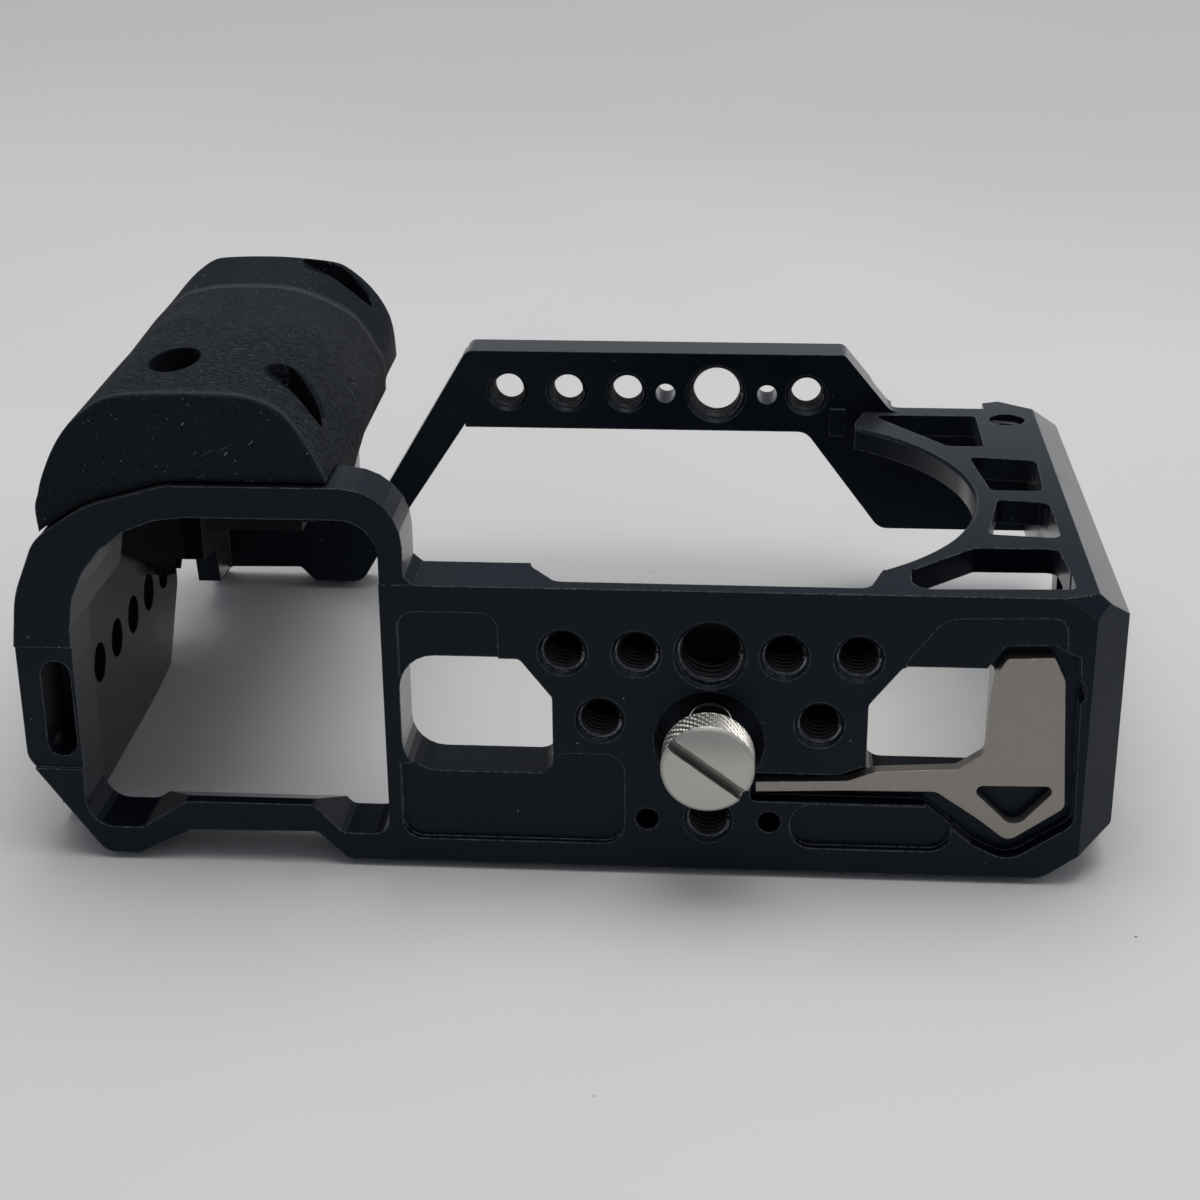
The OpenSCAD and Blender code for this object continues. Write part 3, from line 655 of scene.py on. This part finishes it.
# the knurl's pits and the inside of the slot are made darker
darker_in_hollows = mix_color(tree, product(tree, in_pit, behind_face, 0.8), patchy, (0.10, 0.09, 0.08))
darker_in_hollows = mix_color(tree, product(tree, in_slot, inside, 0.35), darker_in_hollows, (0.30, 0.28, 0.26))
bright = mix_color(tree, edges.outputs["Mask"], darker_in_hollows, (0.85, 0.83, 0.79))
tree.links.new(bright, shader.inputs["Base Color"])
outermost = ramp(tree, from_axis, (HEAD_R - 0.8) * MM, (HEAD_R - 0.7) * MM)
near_face = ramp(tree, apart.outputs["Y"], (FACE_Y + 0.6) * MM, (FACE_Y + 0.8) * MM, 1.0, 0.0)
scratch = noise_at(tree, place, 2200, 5, 0.7)
turned_rough = product(tree, scratch, outermost, near_face, 2.0)
height = math_node(tree, "MULTIPLY_ADD", tooth.outputs["Height"], 0.4, turned_rough)
dull = ramp(tree, tooth.outputs["Blotch"], 0.3, 0.7, 0.33, 0.46)
tree.links.new(dull, shader.inputs["Roughness"])
bump(tree, shader, height, 0.5, 0.03 * MM, edges.outputs["Normal"])
for piece in (screw, screw_thread):
    piece.data.materials.clear()
    piece.data.materials.append(nickel)
    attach(piece, "screw")
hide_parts("camera_screw")

# %% [markdown]
# ## Grip cover
# The grip is one soft rubber moulding. Its cross-section is known at five places along its length,
# so a grid is wrapped round those five outlines like a sleeve: rays from the middle of the grip
# find each outline, and the reach of every ray is blended smoothly from one place to the next.
# The room for the loop and the core, the two wells and the finger recess are then cut out.

# %% Outlines along the grip
def fillet(before, corner, after, radius, steps=6):
    """Points on the arc that rounds a corner. All are (x, z) in mm."""
    corner = Vector(corner)
    first = (Vector(before) - corner).normalized()
    second = (Vector(after) - corner).normalized()
    half = math.acos(max(-1, min(1, first.dot(second)))) / 2
    centre = corner + (first + second).normalized() * radius / math.sin(half)
    start = corner + first * radius / math.tan(half) - centre
    end = corner + second * radius / math.tan(half) - centre
    angle = math.atan2(start.y, start.x)
    turn = (math.atan2(end.y, end.x) - angle + 3 * math.pi) % (2 * math.pi) - math.pi
    turns = [angle + turn * i / steps for i in range(steps + 1)]
    return [centre + radius * Vector((math.cos(a), math.sin(a))) for a in turns]


def rounded(corners):
    """An outline whose corners are (x, z, radius) in mm. A radius of 0 leaves a corner sharp."""
    points = []
    for i, (x, z, radius) in enumerate(corners):
        if radius:
            after = corners[(i + 1) % len(corners)]
            points += fillet(corners[i - 1][:2], (x, z), after[:2], radius)
        else:
            points.append(Vector((x, z)))
    return points


MIDDLE = Vector((-77, 55))  # (x, z) from which the rays start
RAYS = 320
# each outline: its place along Y, then its points (x, z) from the one foot to the other
GRIP_OUTLINES = (
    (0.9, ((-94.2, 46), (-95, 53.2), (-94.4, 55.9), (-93.6, 58.5), (-91.7, 62.6), (-89.4, 65.9),
           (-86.8, 68.2), (-84.3, 69.8), (-81.5, 70.6), (-77.1, 70.9), (-71, 71), (-65.4, 70.8),
           (-62.3, 70.1), (-59.6, 68.8), (-57.8, 66.8), (-56, 64), (-54.6, 61.2), (-53.5, 58.7),
           (-53.2, 56), (-54, 50))),
    (30, ((-100.2, 46), (-100, 50), (-98.2, 54.8), (-94.5, 60.2), (-91.6, 63.9), (-88.6, 67.6),
          (-86, 69.8), (-83, 70.9), (-79, 71.1), (-72, 71.2), (-66.5, 71), (-63, 70.2), (-60, 68.2),
          (-57.4, 64.8), (-55.2, 61.2), (-53.8, 58.2), (-53.6, 55.5), (-55.5, 49))),
    (46, ((-100.4, 46), (-100.3, 51), (-98.9, 55.6), (-95.6, 60.2), (-92.1, 64), (-88.9, 67.3),
          (-86, 69.4), (-82.5, 70.3), (-78, 70.4), (-72, 70.4), (-67, 70.1), (-63.5, 69.1),
          (-60.4, 66.6), (-58, 63.2), (-56, 59.8), (-54.8, 57.2), (-55, 54.5), (-57, 49))),
    (76, ((-100.6, 47), (-100.4, 53), (-99.2, 57.4), (-97, 60.6), (-94.5, 62.9), (-91.9, 64.9),
          (-89.4, 65.9), (-84.5, 66.7), (-77.3, 66.8), (-72.5, 66.3), (-67.8, 64.7), (-63.2, 62.3),
          (-60.9, 59.7), (-59.1, 56.7), (-57.8, 54), (-57.6, 49))),
    (91.4, ((-100, 50), (-99.2, 55), (-98.2, 58.6), (-96.4, 61.6), (-94.2, 64.5), (-92, 66.6),
            (-89.4, 68.4), (-86.3, 68.9), (-80, 69.1), (-74.4, 68.9), (-68, 68.2), (-65.1, 66.9),
            (-61.8, 63.9), (-59.5, 60.6), (-58.2, 57), (-57.8, 51))))


def smooth_outline(points, steps=6):
    """A curve through the points. It has a corner at both ends, which the flat base joins."""
    points = [Vector(p) for p in points]
    curve = []
    for i in range(len(points) - 1):
        near = [max(0, min(len(points) - 1, i + k)) for k in (-1, 0, 1, 2)]
        before, start, end, after = (points[k] for k in near)
        for step in range(steps):
            t = step / steps
            curve.append(0.5 * (2 * start + (end - before) * t
                                + (2 * before - 5 * start + 4 * end - after) * t**2
                                + (3 * start - before - 3 * end + after) * t**3))
    return curve + [points[-1]]


def reach(outline, angle):
    """How far a ray from the middle goes until it meets the outline."""
    way = Vector((math.cos(angle), math.sin(angle)))
    best = 0
    for i, point in enumerate(outline):
        side = outline[(i + 1) % len(outline)] - point
        across = way.x * side.y - way.y * side.x
        if abs(across) < 1e-9:
            continue
        gap = point - MIDDLE
        along = (gap.x * side.y - gap.y * side.x) / across
        share = (gap.x * way.y - gap.y * way.x) / across
        if along > 0 and -1e-6 <= share <= 1 + 1e-6:
            best = max(best, along)
    return best


ray_angles = [2 * math.pi * i / RAYS for i in range(RAYS)]
reaches = [(y, [reach(smooth_outline(points), angle) for angle in ray_angles])
           for y, points in GRIP_OUTLINES]


def reach_at(y, ray):
    """The reach at any place along the grip: a smooth curve, and straight in the last stretch."""
    spots = [spot for spot, _ in reaches]
    k = max(0, min(len(spots) - 2, sum(y >= spot for spot in spots) - 1))
    y0, y1 = spots[k], spots[k + 1]
    r0, r1 = reaches[k][1][ray], reaches[k + 1][1][ray]
    share = (y - y0) / (y1 - y0)
    if k == len(spots) - 2:
        return r0 + (r1 - r0) * share
    slope = (r1 - r0) / (y1 - y0)
    before = (r0 - reaches[k - 1][1][ray]) / (y0 - spots[k - 1]) if k else slope
    smooth_on = k + 2 < len(spots) - 1
    after = (reaches[k + 2][1][ray] - r1) / (spots[k + 2] - y1) if smooth_on else slope
    start, end = (before + slope) / 2, (after + slope) / 2
    return ((2 * share**3 - 3 * share**2 + 1) * r0
            + (share**3 - 2 * share**2 + share) * (y1 - y0) * start
            + (3 * share**2 - 2 * share**3) * r1 + (share**3 - share**2) * (y1 - y0) * end)


# the ends are rounded over: each stop is a place along Y and how much of the reach is taken off
stops = [(0.9, 0.5), (0.97, 0.28), (1.15, 0.1), (1.45, 0.02), (2.1, 0)]
stops += [(2.1 + 2.4 * i, 0) for i in range(1, 31)]
stops += [(y, 0) for y in (75.2, 76, 76.8, 79, 82, 85, 88)]
stops += [(89.8, 0.1), (90.6, 0.45), (91.1, 0.95), (91.4, 1.6)]
print(len(stops), "rings of", RAYS, "points")

# %% Sleeve
bpy.ops.object.select_all(action="DESELECT")
bpy.ops.mesh.primitive_grid_add(x_subdivisions=RAYS, y_subdivisions=len(stops) - 1, size=1)
grip = bpy.context.object
grip.name = "soft_grip"
for corner in grip.data.vertices:
    ray = round((corner.co.x + 0.5) * RAYS) % RAYS
    y, taken = stops[round((corner.co.y + 0.5) * (len(stops) - 1))]
    angle = ray_angles[ray]
    far = reach_at(y, ray) - taken
    x, z = MIDDLE.x + far * math.cos(angle), MIDDLE.y + far * math.sin(angle)
    corner.co = Vector((x, y, z - REAR_TO_ROW)) * MM
bpy.ops.object.mode_set(mode="EDIT")
bpy.ops.mesh.select_all(action="SELECT")
bpy.ops.mesh.remove_doubles(threshold=1e-6)
bpy.ops.mesh.fill_holes(sides=0)
bpy.ops.mesh.select_all(action="SELECT")
bpy.ops.mesh.normals_make_consistent(inside=False)
bpy.ops.object.mode_set(mode="OBJECT")
print("sleeve:", len(grip.data.polygons), "faces")

# %% [markdown]
# ## Rooms and wells
# A cutter is an outline pulled straight, and a boolean takes it out of the sleeve. The room for
# the loop is the loop's own outline grown by a third of a millimetre, and a slightly larger and
# very thin one leaves the step of the lip that lies on the metal.

# %% Cutters
def prism(name, outline, low, high, axis="Y"):
    """A cutter with an outline in (x, z) pulled along Y, or in (x, y) pulled along Z, in mm."""
    bpy.ops.object.select_all(action="DESELECT")
    bpy.ops.mesh.primitive_circle_add(vertices=len(outline), fill_type="NGON")
    cutter = bpy.context.object
    cutter.name = name
    for corner, (a, b) in zip(cutter.data.vertices, outline):
        spot = (a, low, b - REAR_TO_ROW) if axis == "Y" else (a, b, low - REAR_TO_ROW)
        corner.co = Vector(spot) * MM
    bpy.ops.object.mode_set(mode="EDIT")
    bpy.ops.mesh.select_all(action="SELECT")
    pull = (high - low) * MM
    move = (0, pull, 0) if axis == "Y" else (0, 0, pull)
    bpy.ops.mesh.extrude_region_move(TRANSFORM_OT_translate={"value": move})
    bpy.ops.mesh.select_all(action="SELECT")
    bpy.ops.mesh.normals_make_consistent(inside=False)
    bpy.ops.object.mode_set(mode="OBJECT")
    return cutter


def oval(x, y, wide, deep, angle=0.0, steps=48):
    """An oval outline centred at (x, y), its long side turned by angle in degrees."""
    way = Vector((math.cos(math.radians(angle)), math.sin(math.radians(angle))))
    across = Vector((-way.y, way.x))
    turns = [2 * math.pi * i / steps for i in range(steps)]
    return [Vector((x, y)) + way * wide * math.cos(turn) + across * deep * math.sin(turn)
            for turn in turns]


print("cutters ready")

# %% Rooms and wells
LOOP_GAP = 0.35
LIP_GROWTH = 2.6  # the lip's outline lies this many gaps outside the loop's
# middle in (x, y) and half sizes of an oval, in mm
LEFT_WELL = (-77.6, 17.0, 3.45, 5.9)
FINGER_RECESS = (-67.2, 86.6, 6.7, 2.3)
LOOP_OUTLINE = ((-46.6, 0, 0), (-52.8, 0, 1.5), (-57.4, 4.4, 1.5), (-76.4, 4.1, 1.5), (-84.4, 0, 2),
                (-89.4, 0, 3), (-100, 15.2, 3), (-100, 33, 0), (-99, 41, 16), (-95.4, 49.6, 7),
                (-87.9, 54.6, 16), (-76, 57.9, 10), (-43, 58, 8.5), (-43, 45, 0), (-41.6, 43.8, 0),
                (-46.6, 43.8, 0))
loop_points = rounded(LOOP_OUTLINE)
grown = []
for i, point in enumerate(loop_points):
    along = (loop_points[(i + 1) % len(loop_points)] - loop_points[i - 1]).normalized()
    grown.append(point + LOOP_GAP * Vector((-along.y, along.x)))
cut(grip, prism("loop_room", grown, -0.5, 9.9))
return_room = prism("return_room", grown, 9.8, 26.8)
cut(return_room, prism("right_part", ((-72.7, -5), (-30, -5), (-30, 70), (-72.7, 70)), 5, 30))
cut(grip, return_room)
lip = [LIP_GROWTH * far - (LIP_GROWTH - 1) * point for far, point in zip(grown, loop_points)]
cut(grip, prism("lip_step", lip, 0.5, 1.12))
cut(grip, prism("hollow", ((-110, 28), (-40, 28), (-40, 48), (-110, 48)), 9.5, 88.2))
cut(grip, prism("core_room", ((-95.1, 47), (-58.9, 47), (-58.9, 55), (-95.1, 55)), 9.5, 90.2))
cut(grip, prism("left_well", oval(*LEFT_WELL), 57, 80, "Z"))
right_well = smooth_outline(((-60.9, 11.3), (-63, 12.9), (-63.8, 15.2), (-63.5, 17.6), (-62.3, 19),
                             (-60.6, 18.8), (-58.8, 17.4), (-57.2, 15.8), (-56.2, 13.8),
                             (-55.8, 11.4), (-58.3, 10.6), (-60.9, 11.3)))
cut(grip, prism("right_well", right_well[:-1], 56, 80, "Z"))
cut(grip, prism("finger_recess", oval(*FINGER_RECESS, -21), 57, 80, "Z"))
bpy.ops.object.select_all(action="DESELECT")
grip.select_set(True)
bpy.context.view_layer.objects.active = grip
bpy.ops.object.shade_smooth_by_angle(angle=math.radians(28))
print("grip:", len(grip.data.polygons), "faces")

# %% [markdown]
# ## Two small pieces
# A little raised block sits on the top bar's inner face, beside the web's tip. A dark sheet stands
# for the shade beside the side wall under the grip: it hangs down there, its ragged lower edge
# follows the edge of that shade, and it is a flat grid, pulled to that edge and given a wall by a
# Solidify modifier. Its colour is painted shade from the grip's finish.

# %% Small bracket
BRACKET_MIDDLE, BRACKET_SIZE = (19.8, 83.6, 8.0), (2.8, 0.9, 5.0)
bpy.ops.object.select_all(action="DESELECT")
bpy.ops.mesh.primitive_cube_add(size=1)
bracket = bpy.context.object
bracket.name = "bar_bracket"
for corner in bracket.data.vertices:
    spot = [a + b * c for a, b, c in zip(BRACKET_MIDDLE, corner.co, BRACKET_SIZE)]
    corner.co = Vector(spot) * MM
rim = bracket.modifiers.new("rim", "BEVEL")
rim.width = 0.25 * MM
rim.segments = 3
bpy.ops.object.modifier_apply(modifier="rim")
bracket.data.materials.append(anodised)
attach(bracket, "cage")
print("bracket:", len(bracket.data.polygons), "faces")

# %% Sheet of painted shade
SHADE_SHEET_X, SHADE_SHEET_TOP = -93.1, 48.3
# (y, z) along the sheet's ragged lower edge, which follows the edge of the shade
SHADE_SHEET_EDGE = ((26.9, 39), (29.4, 37), (38, 32.4), (47.4, 27.4), (49.5, 24.6), (50.6, 26.6),
             (52.2, 23.4), (53.6, 25.6), (55, 22.4), (56.8, 24.8), (58.6, 21.2), (60.4, 23.8),
             (62.2, 20.8), (64, 23), (65.7, 21.4))
bpy.ops.object.select_all(action="DESELECT")
bpy.ops.mesh.primitive_grid_add(x_subdivisions=len(SHADE_SHEET_EDGE) - 1, y_subdivisions=6, size=1)
shade_sheet = bpy.context.object
shade_sheet.name = "painted_shade_sheet"
for corner in shade_sheet.data.vertices:
    y, z = SHADE_SHEET_EDGE[round((corner.co.x + 0.5) * (len(SHADE_SHEET_EDGE) - 1))]
    drop = 0.5 - corner.co.y
    wave = 0.35 * noise.noise(Vector((y * 0.15, drop * 2, 0.4)))
    height = SHADE_SHEET_TOP + (z - SHADE_SHEET_TOP) * drop
    corner.co = Vector((SHADE_SHEET_X + wave, y, height - REAR_TO_ROW)) * MM
bpy.context.view_layer.objects.active = shade_sheet
wall = shade_sheet.modifiers.new("wall", "SOLIDIFY")
wall.thickness = 1.0 * MM
wall.offset = 1 if shade_sheet.data.polygons[0].normal.x > 0 else -1
bpy.ops.object.modifier_apply(modifier="wall")
bpy.ops.object.mode_set(mode="EDIT")
bpy.ops.mesh.select_all(action="SELECT")
bpy.ops.mesh.normals_make_consistent(inside=False)
bpy.ops.object.mode_set(mode="OBJECT")
print("flap:", len(shade_sheet.data.polygons), "faces")

# %% [markdown]
# ## Leather grain
# The moulding copies leather: fine wrinkles run mostly across the grip, and the ends are smooth.
# Cells stretched across the grip give the wrinkles, a noise bends them, and masks along the grip
# keep them off both ends; the creases are painted dark as painted shade. The near face and the far
# end are painted darker as painted shade. The ridge before the far end gets a pale painted
# highlight, and the edges wear pale. Lint and short fibres stick to it all: fibres are the specks
# of a pattern drawn out long, in four directions. The walls of the wells, whatever faces down and
# the inner side low on the grip are painted in shade colour and stay clean.

# %% Grip finish
# painted shade colour, for the creases, the walls of the wells, faces turned down and the inner
# side low down
PAINTED_SHADE = (0.002, 0.0025, 0.004)
rubber, tree, shader = new_material("grained_rubber", (0.018, 0.021, 0.027), 0.62, specular=0.22)
shader.inputs["Specular Tint"].default_value = (0.7, 0.85, 1, 1)
place = add_node(tree, "ShaderNodeTexCoord")
apart = add_node(tree, "ShaderNodeSeparateXYZ")
tree.links.new(place.outputs["Object"], apart.inputs[0])
wobble = add_node(tree, "ShaderNodeTexNoise", Scale=160.0, Detail=2.0)
tree.links.new(place.outputs["Object"], wobble.inputs["Vector"])
shift = add_node(tree, "ShaderNodeVectorMath", operation="SCALE", Scale=0.004)
tree.links.new(wobble.outputs["Color"], shift.inputs[0])
bent = add_node(tree, "ShaderNodeVectorMath", operation="ADD")
tree.links.new(place.outputs["Object"], bent.inputs[0])
tree.links.new(shift.outputs[0], bent.inputs[1])
stretch = add_node(tree, "ShaderNodeVectorMath", operation="MULTIPLY")
stretch.inputs[1].default_value = (0.5, 1.0, 0.5)
tree.links.new(bent.outputs[0], stretch.inputs[0])
wrinkles = []
for size in (1000.0, 2100.0):
    cells = add_node(tree, "ShaderNodeTexVoronoi", feature="DISTANCE_TO_EDGE", Scale=size)
    tree.links.new(stretch.outputs[0], cells.inputs["Vector"])
    wrinkles.append(ramp(tree, cells.outputs["Distance"], 0.0, 0.2))
finer = math_node(tree, "MULTIPLY_ADD", wrinkles[1], 0.45, 0.55)
creases = product(tree, wrinkles[0], finer)
grained = band(tree, apart.outputs["Y"], (1.6, 3.2), (74.6, 76.2))
# painted highlight: a pale band along the ridge before the far end
ridge = band(tree, apart.outputs["Y"], (74.6, 75.8), (76.2, 77.4))
edges = use_group(tree, worn_and_lit_edges, Width=0.5 * MM, Amount=0.5)
tooth = use_group(tree, grain, Scale=3500.0, Stretch=(1, 1, 1))
lint = use_group(tree, dust, Scale=1000.0, Share=0.35, Size=0.075)
stuck = lint.outputs["Mask"]
# each set of fibres: its direction and how many cells lie in a metre
FIBRES = (((0, 0.8, 0), 1150.0), ((0, -0.5, 0), 1300.0), ((0.4, 0.3, 1.2), 1050.0),
          ((0, 2.3, 0.3), 1250.0))
for turn, size in FIBRES:
    fibre_place = add_node(tree, "ShaderNodeMapping", vector_type="TEXTURE", Rotation=turn,
                           Scale=(22, 1, 1))
    tree.links.new(place.outputs["Object"], fibre_place.inputs[0])
    fibre_cells = add_node(tree, "ShaderNodeTexVoronoi", Scale=size)
    tree.links.new(fibre_place.outputs[0], fibre_cells.inputs["Vector"])
    fibre_tone = add_node(tree, "ShaderNodeSeparateColor")
    tree.links.new(fibre_cells.outputs["Color"], fibre_tone.inputs[0])
    near = math_node(tree, "LESS_THAN", fibre_cells.outputs["Distance"], 0.08)
    few = math_node(tree, "LESS_THAN", fibre_tone.outputs[0], 0.4)
    fibre = product(tree, fibre_tone.outputs[1], near, few, 0.8)
    stuck = math_node(tree, "MAXIMUM", stuck, fibre)
skin = mix_color(tree, tooth.outputs["Blotch"], (0.0185, 0.0205, 0.0255), (0.028, 0.030, 0.035))
shaded_front = ramp(tree, apart.outputs["Y"], 1.0 * MM, 1.7 * MM, 1.0, 0.0)
shaded_far_end = ramp(tree, apart.outputs["Y"], 76.5 * MM, 78 * MM)
# painted shade: the near face and the far end are painted darker
skin = mix_color(tree, shaded_front, skin, (0.0022, 0.0040, 0.0080))
skin = mix_color(tree, shaded_far_end, skin, (0.0022, 0.0032, 0.0060))
speckled = ramp(tree, tooth.outputs["Height"], 0.42, 0.66)
more_in_front = math_node(tree, "MULTIPLY_ADD", shaded_front, 0.22, 0.05)
skin = mix_color(tree, product(tree, speckled, more_in_front), skin, (0.036, 0.039, 0.045))
# painted shade in the creases of the grain
crease_shade = product(tree, opposite(tree, creases), grained)
shaded_creases = mix_color(tree, crease_shade, skin, PAINTED_SHADE)
# painted highlight on the ridge, together with edges that wear pale
rubbing_and_highlight = math_node(tree, "MAXIMUM", product(tree, ridge, 0.4), edges.outputs["Mask"])
rubbed_and_lit = mix_color(tree, rubbing_and_highlight, shaded_creases, (0.05, 0.048, 0.048))
# painted shade: faces turned down, the inner side low on the grip and the walls of the wells get
# the painted shade colour and no lint
facing = add_node(tree, "ShaderNodeNewGeometry")
turned = add_node(tree, "ShaderNodeSeparateXYZ")
tree.links.new(facing.outputs["True Normal"], turned.inputs[0])
painted_shade_mask = ramp(tree, turned.outputs["Z"], -0.6, -0.3, 1.0, 0.0)
# painted shade on the inner side below 14.4 mm, which covers the whole sheet of painted shade
below = math_node(tree, "LESS_THAN", apart.outputs["Z"], 14.4 * MM)
inwards = math_node(tree, "GREATER_THAN", apart.outputs["X"], -95.5 * MM)
painted_shade_mask = math_node(tree, "MAXIMUM", painted_shade_mask, product(tree, below, inwards))
for x, y, wide, deep in (LEFT_WELL, (-60, 14.9, 4.0, 4.4), (-67.2, 86.6, 5.6, 2.3)):
    side = math_node(tree, "SUBTRACT", apart.outputs["X"], x * MM)
    side = math_node(tree, "DIVIDE", side, wide * MM)
    along = math_node(tree, "SUBTRACT", apart.outputs["Y"], y * MM)
    along = math_node(tree, "DIVIDE", along, deep * MM)
    far = math_node(tree, "ADD", product(tree, side, side), product(tree, along, along))
    painted_shade_mask = math_node(tree, "MAXIMUM", painted_shade_mask, ramp(tree, far, 1.03, 1.15, 1.0, 0.0))
out_of_shade = opposite(tree, painted_shade_mask)
shade_painted = mix_color(tree, painted_shade_mask, rubbed_and_lit, PAINTED_SHADE)
linty = mix_color(tree, product(tree, stuck, out_of_shade), shade_painted, (0.36, 0.36, 0.37))
tree.links.new(linty, shader.inputs["Base Color"])
dull = ramp(tree, tooth.outputs["Blotch"], 0.3, 0.7, 0.66, 0.80)
tree.links.new(math_node(tree, "MAXIMUM", dull, painted_shade_mask), shader.inputs["Roughness"])
height = math_node(tree, "MULTIPLY_ADD", tooth.outputs["Height"], 0.18,
                   product(tree, creases, grained))
height = product(tree, height, out_of_shade)
bump(tree, shader, height, 1.0, 0.5 * MM, edges.outputs["Normal"])
for piece in (grip, shade_sheet):
    piece.data.materials.clear()
    piece.data.materials.append(rubber)
    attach(piece, "cage")
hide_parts("grip_cover")
